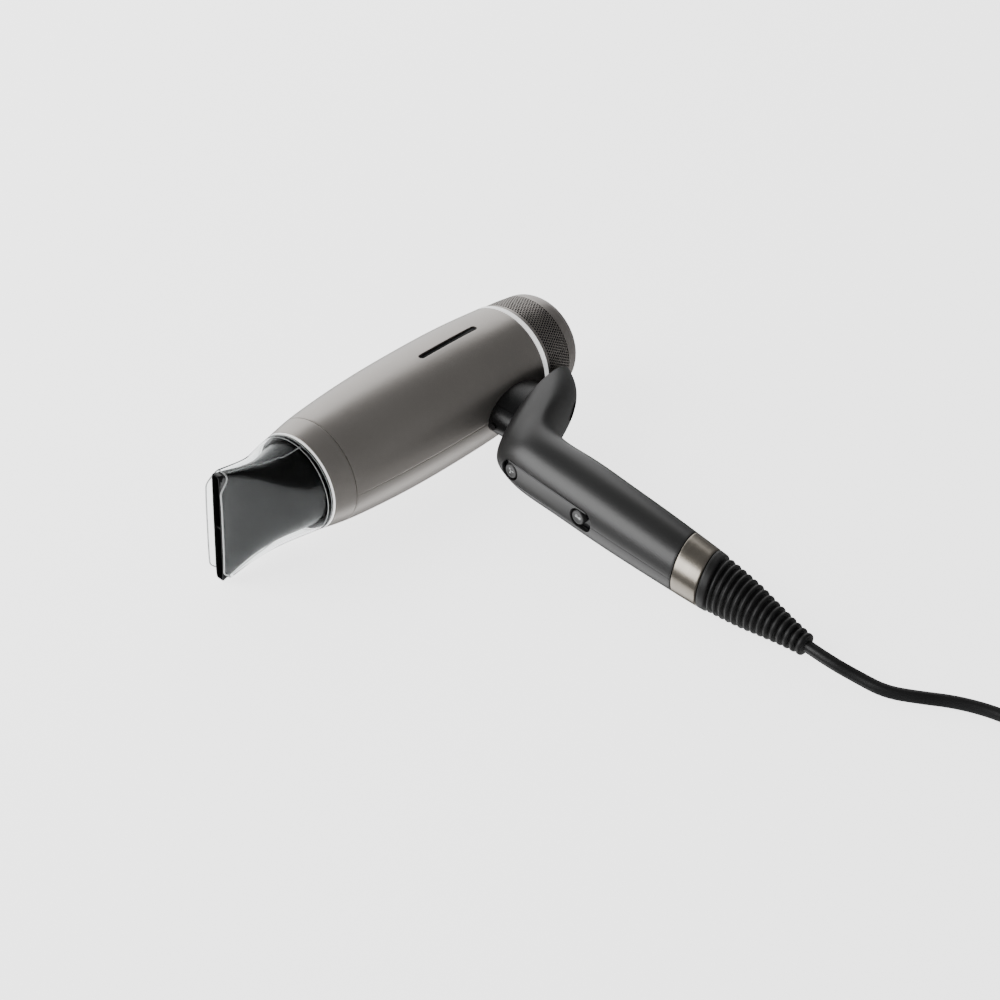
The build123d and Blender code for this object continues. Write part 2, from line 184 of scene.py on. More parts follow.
# Smoked diffuser of the lamp slot: black until the lamp behind it is lit, satin so that it mirrors nothing.
# The same near-black also paints the nozzle's seat ring, as painted shade for the groove it sits in.
diffuserAndPaintedShade = makeFinish("smokedDiffuserAndPaintedShade", {
    "dark": "#030303", "light": "#050505", "driftMm": 10, "grainMm": 0.4, "roughness": 0.45,
    "bump": 0.05, "shader": {"IOR": 1.3}})
# Painted highlight for the cut edges of clear plastic: a pale, partly clear colour standing in for the light the
# sheet carries to its edges.
paintedEdgeHighlight = makeFinish("clearEdgePaintedHighlight", {
    "dark": "#C9CBCB", "light": "#D8DADA", "driftMm": 12, "grainMm": 0.5, "roughness": 0.15,
    "bump": 0.03, "shader": {"IOR": 1.49, "Transmission Weight": 0.35}})
# Glass-filled nylon of the inner nozzle: dark satin, spark-eroded mould texture.
nozzleNylon = makeFinish("sparkErodedNylon", {
    "dark": "#0B0B0C", "light": "#101011", "driftMm": 18, "grainMm": 0.35, "roughness": 0.24,
    "bump": 0.02, "bumpMm": 0.004, "shader": {"IOR": 1.42}})
# Champagne anodised aluminium sleeve: satin, with a very fine turned grain round the handle.
champagneAluminium = makeFinish("champagneAnodisedAluminium", {
    "dark": "#A39C91", "light": "#B0A99E", "driftMm": 25, "grainMm": 0.22, "roughness": 0.3,
    "bump": 0.12, "bumpMm": 0.01, "stretch": (1.0, 6.0, 1.0), "shader": {"Metallic": 1.0}})
# Bright trim: white lacquer under clear, with a painted glow of its own (emission, though it is no lamp)
# so that it stays white all the way round.
trimWithPaintedGlow = makeFinish("polishedTrimPaintedGlow", {
    "dark": "#FAFAF9", "light": "#FFFFFE", "driftMm": 25, "grainMm": 0.4, "roughness": 0.3,
    "bump": 0.03, "shader": {"Coat Weight": 0.6, "Coat Roughness": 0.05, "Emission Strength": 0.8}})
# Perforated steel of the filter, in the barrel's bronze lacquer but more matt: it glints softly between
# its dark holes.
filterSteel = makeFinish("lacqueredPerforatedSteel", {
    "dark": "#A8A39F", "light": "#B7B2AE", "driftMm": 20, "grainMm": 0.25, "roughness": 0.42,
    "bump": 0.08, "bumpMm": 0.01, "shader": {"Metallic": 0.9}})
# Fine woven steel mesh behind the holes, with lint in it: nearly black, partly the dark steel and partly painted
# shade inside the filter, so that the holes read dark.
gauzeAndPaintedShade = makeFinish("wovenSteelGauzeAndShade", {
    "dark": "#060606", "light": "#0C0B0A", "fleck": "#1A1816", "driftMm": 6, "grainMm": 0.3,
    "roughness": 0.7, "bump": 0.6, "bumpMm": 0.08, "shader": {"Metallic": 0.3}})
# Moulded thermoplastic rubber: matt black, with dust-grey high spots.
bootRubber = makeFinish("mouldedRubber", {
    "dark": "#090909", "light": "#0F0F0F", "fleck": "#161616", "driftMm": 12, "grainMm": 0.35,
    "roughness": 0.5, "roughSpread": 0.08, "bump": 0.25, "bumpMm": 0.03,
    "shader": {"IOR": 1.5, "Sheen Weight": 0.05}})
# PVC cord jacket: black with a soft shine along its length.
cordJacket = makeFinish("pvcCordJacket", {
    "dark": "#101011", "light": "#171718", "driftMm": 35, "grainMm": 0.5, "roughness": 0.42,
    "roughSpread": 0.06, "bump": 0.15, "bumpMm": 0.02, "shader": {"IOR": 1.52}})
# Nickel-plated brass plug pins: bright, with fine draw lines along them.
nickelPin = makeFinish("nickelPlatedBrass", {
    "dark": "#B9B5A8", "light": "#CBC7BB", "driftMm": 6, "grainMm": 0.2, "roughness": 0.24,
    "stretch": (1.0, 0.15, 1.0), "shader": {"Metallic": 1.0}})
# Pale pad-printed marks on the buttons.
markInk = makeFinish("padPrintedInk", {
    "dark": "#A7A9A9", "light": "#B6B8B8", "driftMm": 2, "grainMm": 0.15, "roughness": 0.5})
# Materials inside the dryer, one for each slot that nothing outside uses.
innerFinishes = {
    "mica": {"dark": "#A08C6C", "light": "#BCA682", "fleck": "#D8C8A8", "driftMm": 8, "grainMm": 1.2,
             "roughness": 0.5},
    "heating_wire": {"dark": "#5A504A", "light": "#7A706A", "driftMm": 5, "grainMm": 0.3, "roughness": 0.45,
                     "shader": {"Metallic": 1.0}},
    "copper": {"dark": "#9C5B34", "light": "#C27B4C", "driftMm": 3, "grainMm": 0.4, "roughness": 0.3,
               "bump": 0.5, "bumpMm": 0.2, "shader": {"Metallic": 1.0}},
    "steel": {"dark": "#8A8A8C", "light": "#A0A0A2", "driftMm": 8, "grainMm": 0.2, "roughness": 0.3,
              "shader": {"Metallic": 1.0}},
    "circuit_board": {"dark": "#123D24", "light": "#1C5434", "fleck": "#8E9B4A", "driftMm": 4,
                      "grainMm": 1.5, "roughness": 0.35},
    "plain_plastic": {"dark": "#48484A", "light": "#545456", "driftMm": 15, "grainMm": 0.4,
                      "roughness": 0.45},
}


def makeClear(name):
    # Clear polycarbonate, injection moulded and polished. Its walls are thin and their two faces run
    # together, so its index stands low: it hardly dims what is behind it, and its bright edges are painted
    # highlights, drawn as pale beads.
    material, tree = emptyMaterial(name)
    where = addNode(tree, "ShaderNodeTexCoord").outputs["Object"]
    smear = addNode(tree, "ShaderNodeTexNoise", links={"Vector": where, "Scale": 60.0, "Detail": 3.0})
    rough = addNode(tree, "ShaderNodeMapRange", links={
        "Value": smear.outputs["Fac"], "To Min": 0.0, "To Max": 0.03})
    shader = addNode(tree, "ShaderNodeBsdfPrincipled", links={
        "Base Color": hexColour("#EEF0F0"), "Roughness": rough.outputs["Result"], "IOR": 1.06,
        "Transmission Weight": 1.0})
    addNode(tree, "ShaderNodeOutputMaterial", links={"Surface": shader.outputs["BSDF"]})
    return material


clearPlastic = makeClear("clearPolycarbonate")
print("finishes made")


def curveThrough(points, places):
    # Natural cubic spline: points are (parameter, value, value, ...), and the values come back at each place.
    count = len(points)
    width = len(points[0]) - 1
    t = [p[0] for p in points]
    gap = [t[k + 1] - t[k] for k in range(count - 1)]
    bends = []
    for v in range(1, width + 1):
        low, diag, high, right = [0.0] * count, [1.0] * count, [0.0] * count, [0.0] * count
        for k in range(1, count - 1):
            low[k], diag[k], high[k] = gap[k - 1], 2 * (gap[k - 1] + gap[k]), gap[k]
            rise = (points[k + 1][v] - points[k][v]) / gap[k] - (points[k][v] - points[k - 1][v]) / gap[k - 1]
            right[k] = 6 * rise
        for k in range(1, count):
            share = low[k] / diag[k - 1]
            diag[k] -= share * high[k - 1]
            right[k] -= share * right[k - 1]
        bend = [0.0] * count
        for k in range(count - 1, -1, -1):
            after = high[k] * bend[k + 1] if k < count - 1 else 0.0
            bend[k] = (right[k] - after) / diag[k]
        bends.append(bend)
    found = []
    for place in places:
        k = max(0, min(count - 2, sum(1 for x in t[1:] if x < place)))
        a, b = (t[k + 1] - place) / gap[k], (place - t[k]) / gap[k]
        values = []
        for v in range(width):
            m0, m1 = bends[v][k], bends[v][k + 1]
            values.append(a * points[k][v + 1] + b * points[k + 1][v + 1]
                          + ((a ** 3 - a) * m0 + (b ** 3 - b) * m1) * gap[k] ** 2 / 6)
        found.append(values)
    return found


def spread(low, high, count):
    return [low + (high - low) * k / (count - 1) for k in range(count)]


def newObject(name, vertices, faces, place=placeDryer):
    mesh = bpy.data.meshes.new(name)
    mesh.from_pydata([tuple(v) for v in vertices], [], faces)
    mesh.transform(place)
    work = bmesh.new()
    work.from_mesh(mesh)
    bmesh.ops.recalc_face_normals(work, faces=work.faces)
    work.to_mesh(mesh)
    work.free()
    return addObject(name, mesh)


def wallPiece(name, outer, inner, closedRound=True, place=placeDryer):
    # A wall between two grids of points, with its ends and, on an open grid, its sides closed.
    rows, columns = len(outer), len(outer[0])
    vertices = [p for grid in (outer, inner) for row in grid for p in row]
    shift = rows * columns
    faces = []

    def spot(layer, i, j):
        return layer * shift + i * columns + j % columns
    last = columns if closedRound else columns - 1
    for i in range(rows - 1):
        for j in range(last):
            for layer in (0, 1):
                faces.append((spot(layer, i, j), spot(layer, i, j + 1), spot(layer, i + 1, j + 1),
                              spot(layer, i + 1, j)))
    for i in (0, rows - 1):
        for j in range(last):
            faces.append((spot(0, i, j), spot(0, i, j + 1), spot(1, i, j + 1), spot(1, i, j)))
    if not closedRound:
        for j in (0, columns - 1):
            for i in range(rows - 1):
                faces.append((spot(0, i, j), spot(0, i + 1, j), spot(1, i + 1, j), spot(1, i, j)))
    return newObject(name, vertices, faces, place)


def solidPiece(name, rows, place=placeDryer):
    # A closed skin over a stack of rings, flat at both ends.
    columns = len(rows[0])
    vertices = [p for row in rows for p in row]
    faces = [tuple(range(columns)), tuple(range(len(vertices) - columns, len(vertices)))]
    for i in range(len(rows) - 1):
        for j in range(columns):
            k = (j + 1) % columns
            faces.append((i * columns + j, i * columns + k, (i + 1) * columns + k, (i + 1) * columns + j))
    return newObject(name, vertices, faces, place)


def turned(profile, angles):
    return [[(x, r * math.cos(a), r * math.sin(a)) for a in angles] for x, r in profile]


def roundTurn(count):
    return [2 * math.pi * k / count for k in range(count)]


def ringPiece(name, outline, wall, count=192, edge=0.25):
    # A ring turned about the barrel's axis, its four corners eased by edge.
    inner = [(x, r - wall) for x, r in outline]
    rows = turned(easedLoop(outline + inner[::-1], edge), roundTurn(count))
    return newObject(name, [p for row in rows for p in row], loopedFaces(len(rows), count))


def loopedFaces(rings, around):
    # Quads over rings that close on themselves both ways.
    faces = []
    for i in range(rings):
        for j in range(around):
            a, b, k = i * around, (i + 1) % rings * around, (j + 1) % around
            faces.append((a + j, a + k, b + k, b + j))
    return faces


def easedLoop(points, edge):
    # Rounds the sharp corners of a closed outline.
    eased = []
    count = len(points)
    for k in range(count):
        before, here, after = Vector(points[k - 1]), Vector(points[k]), Vector(points[(k + 1) % count])
        one, two = before - here, after - here
        if one.length < 1e-6 or two.length < 1e-6 or one.angle(two) > math.radians(140):
            eased.append(tuple(here))
            continue
        reach = min(edge, 0.45 * one.length, 0.45 * two.length)
        start, end = here + one.normalized() * reach, here + two.normalized() * reach
        for s in (0.0, 0.25, 0.5, 0.75, 1.0):
            eased.append(tuple(start * (1 - s) ** 2 + here * 2 * s * (1 - s) + end * s ** 2))
    return eased


def capsuleOutline(length, width, count=16):
    r = width / 2
    points = []
    for side, middle in ((1, length / 2 - r), (-1, r - length / 2)):
        for k in range(count + 1):
            a = -math.pi / 2 + math.pi * k / count
            points.append((middle + side * r * math.cos(a), side * r * math.sin(a)))
    return points


def capsulePrism(name, where, length, width, low, high, ease=0.0):
    # A capsule slab in the plane of where, between two heights, its top edge eased.
    layers = [(low, 0.0)]
    steps = 5 if ease else 1
    for k in range(steps):
        a = math.pi / 2 * k / max(1, steps - 1)
        layers.append((high - ease + ease * math.sin(a), ease * (1 - math.cos(a))))
    if not ease:
        layers[-1] = (high, 0.0)
    rows = []
    for height, inset in layers:
        ring = capsuleOutline(length - 2 * inset, width - 2 * inset)
        rows.append([where @ Vector((x, y, height)) for x, y in ring])
    return solidPiece(name, rows)


def baked(obj):
    # The evaluated object as a plain mesh, its modifiers gone.
    bpy.context.view_layer.update()
    shape = obj.evaluated_get(bpy.context.evaluated_depsgraph_get())
    mesh = bpy.data.meshes.new_from_object(shape)
    obj.modifiers.clear()
    obj.data = mesh
    return obj


def cutWith(obj, *cutters):
    for cutter in cutters:
        cut = obj.modifiers.new("cut", "BOOLEAN")
        cut.operation = "DIFFERENCE"
        cut.solver = "EXACT"
        cut.object = cutter
        baked(obj)
    return obj


def discard(*objects):
    for obj in objects:
        bpy.data.objects.remove(obj)


def finishPiece(obj, body, material, nodes=(), sharpAt=38.0, bevel=0.0):
    if bevel:
        edge = obj.modifiers.new("easedEdges", "BEVEL")
        edge.width = bevel / 1000
        edge.segments = 2
        edge.angle_limit = math.radians(50)
        baked(obj)
    obj.data.materials.clear()
    obj.data.materials.append(material)
    obj.data.shade_smooth()
    obj.data.set_sharp_from_angle(angle=math.radians(sharpAt))
    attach(obj, body)
    if nodes:
        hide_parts(*nodes)
    return obj


cordValues = {
    "diameter": 0.007, "length": 2.75,
    # metres from the point under the rear ring, out of the boot and along the floor
    "fromBoot": [(-0.0845, -0.2881, 0.0101), (-0.0860, -0.3030, 0.0086), (-0.0838, -0.3180, 0.0052),
                 (-0.0830, -0.3350, 0.0035), (-0.0758, -0.3505, 0.0035), (-0.0663, -0.3675, 0.0035),
                 (-0.0608, -0.3870, 0.0035), (-0.0606, -0.4070, 0.0036), (-0.0610, -0.4260, 0.0042)],
    "toPlug": [(-0.0428, -0.4818, 0.0225), (-0.0210, -0.4935, 0.0206), (0.0049, -0.4934, 0.0184),
               (0.0290, -0.4860, 0.0160), (0.0480, -0.4695, 0.0142), (0.0600, -0.4460, 0.0132),
               (0.0600, -0.4210, 0.0130)],
    "coilMiddle": (-0.0135, -0.4400), "outerTurn": 0.047, "innerTurn": 0.0297,
    "layers": 4, "turnsInLayer": 2.5, "lowest": 0.0045, "layerRise": 0.0067, "pointsInTurn": 16,
}


def coilPoints(values):
    # Wound outside in, then inside out, one layer on another, and out again at its outer edge.
    points = []
    perLayer = round(values["turnsInLayer"] * values["pointsInTurn"])
    total = values["layers"] * perLayer
    for k in range(total + 2):
        layer, along = divmod(min(k, total), perLayer)
        share = along / perLayer
        inwards = share if layer % 2 == 0 else 1 - share
        if layer == values["layers"]:
            inwards = 0.0
        radius = values["outerTurn"] + (values["innerTurn"] - values["outerTurn"]) * inwards
        climb = max(0.0, (share - 0.9) / 0.1) if layer < values["layers"] - 1 else 0.0
        height = values["lowest"] + values["layerRise"] * min(values["layers"] - 1, layer + climb)
        angle = math.pi + 2 * math.pi * k / values["pointsInTurn"]
        x, y = values["coilMiddle"]
        points.append((x + radius * math.cos(angle), y + radius * math.sin(angle), height))
    return points


def makeCord(values):
    curve = bpy.data.curves.new("cord", "CURVE")
    curve.dimensions = "3D"
    curve.bevel_depth = values["diameter"] / 2
    curve.bevel_resolution = 6
    curve.resolution_u = 6
    curve.use_fill_caps = True
    route = [floorOrigin + Vector(p) for p in values["fromBoot"] + coilPoints(values) + values["toPlug"]]
    spline = curve.splines.new("NURBS")
    spline.points.add(len(route) - 1)
    for point, place in zip(spline.points, route):
        point.co = (*place, 1.0)
    spline.order_u = 3
    spline.use_endpoint_u = True
    cord = addObject("mains_cord", curve)
    curve.materials.append(cordJacket)
    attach(cord, "dryer")
    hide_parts("cord", "cord_coil", "cord_tail")
    return cord, route


plugValues = {"bootLong": 22.0, "bodyLong": 34.0, "halfWide": 17.3, "halfHigh": 12.7, "squareness": 2.6,
              "pinR": 2.4, "pinApart": 19.0, "pinLong": 19.0, "bootRings": 5}


def squaredRing(half1, half2, power, count):
    ring = []
    for a in roundTurn(count):
        c, s = math.cos(a), math.sin(a)
        ring.append((half1 * math.copysign(abs(c) ** (2 / power), c),
                     half2 * math.copysign(abs(s) ** (2 / power), s)))
    return ring


def makePlug(values, end):
    # Drawn along +x from the cord's end, then turned to run along the floor in +y.
    place = Matrix.Translation(end) @ Matrix.Rotation(math.pi / 2, 4, "Z") @ Matrix.Scale(0.001, 4)
    front = values["bootLong"] + values["bodyLong"]
    outline = curveThrough([(0.0, 0.42), (3.0, 0.6), (9.0, 0.86), (18.0, 0.99), (27.0, 1.0), (32.0, 0.975),
                            (34.0, 0.9)], spread(0.0, values["bodyLong"], 26))
    rows = []
    for x, (share,) in zip(spread(values["bootLong"], front, 26), outline):
        ring = squaredRing(values["halfWide"] * share, values["halfHigh"] * share, values["squareness"], 64)
        rows.append([(x, y, z) for y, z in ring])
    body = solidPiece("plug_moulding", rows, place)
    finishPiece(body, "dryer", bootRubber, ["plug_body"])
    profile = [(0.2, 4.0)]
    pitch = (values["bootLong"] - 3) / values["bootRings"]
    for k in range(values["bootRings"]):
        x = 1.0 + k * pitch
        r = 4.7 + 1.9 * k / values["bootRings"]
        profile += [(x, r), (x + 0.62 * pitch, r + 0.1), (x + 0.68 * pitch, r - 0.9),
                    (x + 0.95 * pitch, r - 0.85)]
    profile += [(values["bootLong"] - 1.6, 6.5), (values["bootLong"] + 1.0, 6.6)]
    boot = solidPiece("plug_strain_relief", turned(profile, roundTurn(40)), place)
    finishPiece(boot, "dryer", bootRubber, ["plug_boot"], bevel=0.15)
    pins = []
    r = values["pinR"]
    for side in (-1, 1):
        pin = [(front - 5, r), (front + values["pinLong"] - r, r)]
        for k in range(1, 8):
            a = math.pi / 2 * k / 7.6
            pin.append((front + values["pinLong"] - r + r * math.sin(a), r * math.cos(a)))
        middle = place @ Matrix.Translation((0, side * values["pinApart"] / 2, 0))
        pins.append(solidPiece("plug_pin", turned(pin, roundTurn(32)), middle))
    joined = joinMeshes("plug_pins_pair", pins)
    finishPiece(joined, "dryer", nickelPin, ["plug_pins"])
    return [body, boot, joined]


def joinMeshes(name, objects):
    work = bmesh.new()
    for obj in objects:
        work.from_mesh(obj.data)
    mesh = bpy.data.meshes.new(name)
    work.to_mesh(mesh)
    work.free()
    discard(*objects)
    return addObject(name, mesh)


tieValues = {"width": 9.0, "thick": 0.9, "halfAcross": 12.5, "halfTall": 13.7, "corner": 4.0}


def makeTie(values):
    # A rubber strap round one side of the coil.
    def loop(grow):
        a, b, r = values["halfAcross"] + grow, values["halfTall"] + grow, values["corner"] + grow
        points = []
        for sx, sy, first in ((1, 1, 0), (-1, 1, 90), (-1, -1, 180), (1, -1, 270)):
            for k in range(7):
                turn = math.radians(first + 15 * k)
                points.append((sx * (a - r) + r * math.cos(turn), sy * (b - r) + r * math.sin(turn)))
        return points
    half = values["width"] / 2
    outer = [[(x, y, z) for y, z in loop(values["thick"])] for x in (-half, half)]
    inner = [[(x, y, z) for y, z in loop(0.0)] for x in (-half, half)]
    low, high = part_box("cord_tie")
    place = Matrix.Translation((low + high) / 2) @ Matrix.Scale(0.001, 4)
    strap = wallPiece("cord_strap", outer, inner, True, place)
    return finishPiece(strap, "dryer", bootRubber, ["cord_tie"], bevel=0.3)


mainsCord, cordRoute = makeCord(cordValues)
cordPieces = makePlug(plugValues, cordRoute[-1]) + [makeTie(tieValues)]
print("cord, coil and plug made")


barrelValues = {
    "outline": [(-176.6, 30.6), (-162.2, 33.3), (-146.0, 35.2), (-110.0, 37.75), (-70.0, 38.65),
                (-30.0, 38.1), (0.0, 36.2)],
    "wall": 1.8, "collarSeam": -162.2, "seam": 0.16, "splitHalf": 0.1, "splitR": 38.0,
    "lampFrom": -77.0, "lampTo": -27.0, "lampWide": 4.2, "lensLow": 36.4, "lensHigh": 37.2,
    "rows": 110, "halfColumns": 110,
}


def barrelProfile(low, high, count):
    xs = spread(low, high, count)
    return [(x, r) for x, (r,) in zip(xs, curveThrough(barrelValues["outline"], xs))]


def makeBarrel(values):
    front, rear = values["collarSeam"] + values["seam"], -0.1
    split = values["splitHalf"] / values["splitR"]
    middle = Matrix.Translation(((values["lampFrom"] + values["lampTo"]) / 2, 0, 0))
    lampLong = values["lampTo"] - values["lampFrom"]
    for side, name in ((1, "left"), (-1, "right")):
        angles = [side * a for a in spread(split, math.pi - split, values["halfColumns"])]
        profile = barrelProfile(front, rear, values["rows"])
        outer = turned(profile, angles)
        inner = turned([(x, r - values["wall"]) for x, r in profile], angles)
        shell = wallPiece("barrel_" + name + "_half", outer, inner, False)
        if side == 1:
            cutter = capsulePrism("lampCut", middle, lampLong, values["lampWide"], 20.0, 60.0)
            cutWith(shell, cutter)
            discard(cutter)
        finishPiece(shell, "dryer", bronzeLacquer, ["barrel_" + name + "_shell"], bevel=0.1)
    lens = capsulePrism("lamp_window", middle, lampLong - 0.1, values["lampWide"] - 0.1,
                        values["lensLow"], values["lensHigh"], 0.2)
    finishPiece(lens, "dryer", diffuserAndPaintedShade, ["lamp_lens"])
    collarOutline = barrelProfile(values["outline"][0][0], values["collarSeam"] - values["seam"], 18)
    collar = ringPiece("front_collar_ring", collarOutline, values["wall"])
    finishPiece(collar, "dryer", bronzeLacquer, ["front_collar"])
    # The collar's bright edge and the rear ring take the trim with its painted glow.
    trim = ringPiece("collar_bright_edge", [(-177.2, 30.35), (-176.7, 30.5)], 1.9, edge=0.2)
    finishPiece(trim, "dryer", trimWithPaintedGlow, ["collar_trim"])
    ring = ringPiece("rear_bright_ring", [(0.1, 36.1), (2.0, 36.12), (3.95, 35.9)], 2.6, edge=0.45)
    finishPiece(ring, "dryer", trimWithPaintedGlow, ["rear_ring"])


makeBarrel(barrelValues)
print("barrel made")


filterValues = {
    "columns": 112, "rows": 12, "start": 6.6, "holeShare": 0.4, "thick": 0.7, "pitchR": 34.5,
    "firstR": 35.25, "slope": -0.0198, "curve": -0.00275, "sleeveFrom": 4.4, "sleeveTo": 28.0,
    # the cap's rounded rim after the sleeve: distance along it, x, radius
    "capRim": [(4.9, 32.8, 32.45), (9.6, 36.9, 30.3), (12.6, 39.0, 28.2), (15.2, 39.6, 25.6)],
}


def sleeveRadius(x):
    along = x - filterValues["sleeveFrom"]
    return filterValues["firstR"] + filterValues["slope"] * along + filterValues["curve"] * along ** 2


def hexCell(pitch, hole, thick):
    # One six-sided cell of sheet with a round hole, 12 points round.
    vertices, faces = [], []
    for depth in (0.0, -thick):
        for ring in ("edge", "hole"):
            for k in range(12):
                a = math.radians(30 * k)
                sixSided = pitch / math.sqrt(3) * (1.0 if k % 2 == 1 else math.cos(math.pi / 6))
                r = hole if ring == "hole" else sixSided
                vertices.append((r * math.cos(a), r * math.sin(a), depth))
    for k in range(12):
        n = (k + 1) % 12
        faces.append((k, n, 12 + n, 12 + k))
        faces.append((24 + n, 24 + k, 36 + k, 36 + n))
        faces.append((12 + k, 12 + n, 36 + n, 36 + k))
    mesh = bpy.data.meshes.new("filterCell")
    mesh.from_pydata(vertices, [], faces)
    return addObject("filterCell", mesh)


def growthTree(name, inputs):
    tree = bpy.data.node_groups.new(name, "GeometryNodeTree")
    tree.interface.new_socket("Geometry", in_out="OUTPUT", socket_type="NodeSocketGeometry")
    for label, kind in inputs:
        tree.interface.new_socket(label, in_out="INPUT", socket_type="NodeSocket" + kind)
    return tree, addNode(tree, "NodeGroupInput").outputs


def endTree(tree, geometry, material):
    solid = addNode(tree, "GeometryNodeRealizeInstances", links={"Geometry": geometry})
    painted = addNode(tree, "GeometryNodeSetMaterial", links={
        "Geometry": solid.outputs[0], "Material": material})
    addNode(tree, "NodeGroupOutput", links={0: painted.outputs[0]})
    return tree


def perforationTree(cell, material):
    # Cells in staggered rows on a flat sheet, which is then rolled to the sleeve's radius.
    tree, given = growthTree("perforatedSleeve", [
        ("Columns", "Int"), ("Rows", "Int"), ("Pitch", "Float"), ("Start", "Float"),
        ("Sleeve start", "Float"), ("Radius", "Float"), ("Slope", "Float"), ("Curve", "Float")])

    def maths(operation, first, second=0.0, third=0.0):
        step = addNode(tree, "ShaderNodeMath", {"operation": operation}, {0: first, 1: second, 2: third})
        return step.outputs[0]
    index = addNode(tree, "GeometryNodeInputIndex").outputs[0]
    row = maths("FLOOR", maths("DIVIDE", maths("ADD", index, 0.5), given["Columns"]))
    column = maths("SUBTRACT", index, maths("MULTIPLY", row, given["Columns"]))
    stagger = maths("MULTIPLY", maths("MODULO", row, 2.0), 0.5)
    across = maths("MULTIPLY", maths("ADD", column, stagger), given["Pitch"])
    down = maths("MULTIPLY", maths("MULTIPLY", row, given["Pitch"]), math.sqrt(3) / 2)
    spot = addNode(tree, "ShaderNodeCombineXYZ", links={"X": across, "Y": down}).outputs[0]
    total = maths("MULTIPLY", given["Columns"], given["Rows"])
    points = addNode(tree, "GeometryNodePoints", links={"Count": total, "Position": spot, "Radius": 1.0})
    source = addNode(tree, "GeometryNodeObjectInfo", {"transform_space": "ORIGINAL"}, {"Object": cell})
    placed = addNode(tree, "GeometryNodeInstanceOnPoints", links={
        "Points": points.outputs[0], "Instance": source.outputs["Geometry"]})
    solid = addNode(tree, "GeometryNodeRealizeInstances", links={"Geometry": placed.outputs[0]})
    parts = addNode(tree, "ShaderNodeSeparateXYZ", links={
        "Vector": addNode(tree, "GeometryNodeInputPosition").outputs[0]}).outputs
    turn = maths("DIVIDE", maths("MULTIPLY", parts["X"], 2 * math.pi),
                 maths("MULTIPLY", given["Columns"], given["Pitch"]))
    x = maths("ADD", parts["Y"], given["Start"])
    along = maths("SUBTRACT", x, given["Sleeve start"])
    bend = maths("MULTIPLY", maths("MULTIPLY", along, along), given["Curve"])
    sloped = maths("MULTIPLY_ADD", along, given["Slope"], given["Radius"])
    r = maths("ADD", maths("ADD", sloped, bend), parts["Z"])
    y, z = (maths("MULTIPLY", r, maths(wave, turn)) for wave in ("COSINE", "SINE"))
    rolled = addNode(tree, "ShaderNodeCombineXYZ", links={"X": x, "Y": y, "Z": z})
    sleeve = addNode(tree, "GeometryNodeSetPosition", links={
        "Geometry": solid.outputs[0], "Position": rolled.outputs[0]})
    merged = addNode(tree, "GeometryNodeMergeByDistance", links={
        "Geometry": sleeve.outputs[0], "Distance": 0.02})
    return endTree(tree, merged.outputs[0], material)


def growFrom(tree, name, inputs, start=None):
    # Runs a node tree on an object and keeps the result as a plain mesh, laid down with the dryer.
    obj = addObject(name, start or bpy.data.meshes.new(name))
    modifier = obj.modifiers.new("grow", "NODES")
    modifier.node_group = tree
    for item in tree.interface.items_tree:
        if item.in_out == "INPUT" and item.name in inputs:
            modifier[item.identifier] = inputs[item.name]
    baked(obj)
    obj.data.transform(placeDryer)
    return obj


def makeFilter(values):
    pitch = 2 * math.pi * values["pitchR"] / values["columns"]
    cell = hexCell(pitch, values["holeShare"] * pitch, values["thick"])
    tree = perforationTree(cell, filterSteel)
    sleeve = growFrom(tree, "filter_perforated_sleeve", {
        "Columns": values["columns"], "Rows": values["rows"], "Pitch": pitch, "Start": values["start"] + 1.0,
        "Sleeve start": values["sleeveFrom"], "Radius": values["firstR"] - 0.06, "Slope": values["slope"],
        "Curve": values["curve"]})
    discard(cell)
    finishPiece(sleeve, "filter", filterSteel, ["filter_sleeve"])
    print("filter holes:", values["columns"] * values["rows"], "triangles:", len(sleeve.data.polygons) * 2)
    lastHole = values["start"] + 1.0 + pitch * math.sqrt(3) / 2 * (values["rows"] - 1)
    front = [(x, sleeveRadius(x)) for x in spread(values["sleeveFrom"], values["start"] + 0.35, 6)]
    band = ringPiece("filter_front_band", front, 1.2, edge=0.2)
    finishPiece(band, "filter", filterSteel)
    end = values["sleeveTo"]
    rear = [(x, sleeveRadius(x)) for x in spread(lastHole + 0.7, end, 6)]
    rim = curveThrough([(0.0, end, sleeveRadius(end))] + values["capRim"], spread(0.4, 15.2, 18))
    profile = rear + [(x, r) for x, r in rim] + [(39.6, 12.0), (39.6, 0.02)]
    cap = solidPiece("filter_rear_cap", turned(profile, roundTurn(160)))
    finishPiece(cap, "filter", filterSteel, ["filter_cap"])


makeFilter(filterValues)
print("filter made")


handleValues = {
    "axisX": -55.2, "lean": 5.77, "wall": 2.2, "rimEase": 1.1, "seam": 0.07, "seamR": 19.0,
    "radii": [(110.0, 19.7), (145.0, 19.4), (175.0, 18.6), (205.0, 17.35), (222.0, 16.45),
              (232.0, 15.75)],
    "head": [((-62.0, -56.5), (20.5, -38.5), 18.2), ((-73.0, -61.0), (12.5, -50.0), 19.2),
             ((-79.8, -68.5), (-7.0, -65.5), 19.8), ((-83.0, -80.0), (-36.0, -78.5), 19.9)],
    "bandFrom": 202.5, "bandTo": 220.5, "bandSlant": 16.0, "bandR": 17.0, "halfColumns": 72,
}
lean = math.radians(handleValues["lean"])
downHandle = Vector((-math.sin(lean), -math.cos(lean), 0))
rearward = Vector((math.cos(lean), -math.sin(lean), 0))
handleTop = Vector((handleValues["axisX"], 0, 0))


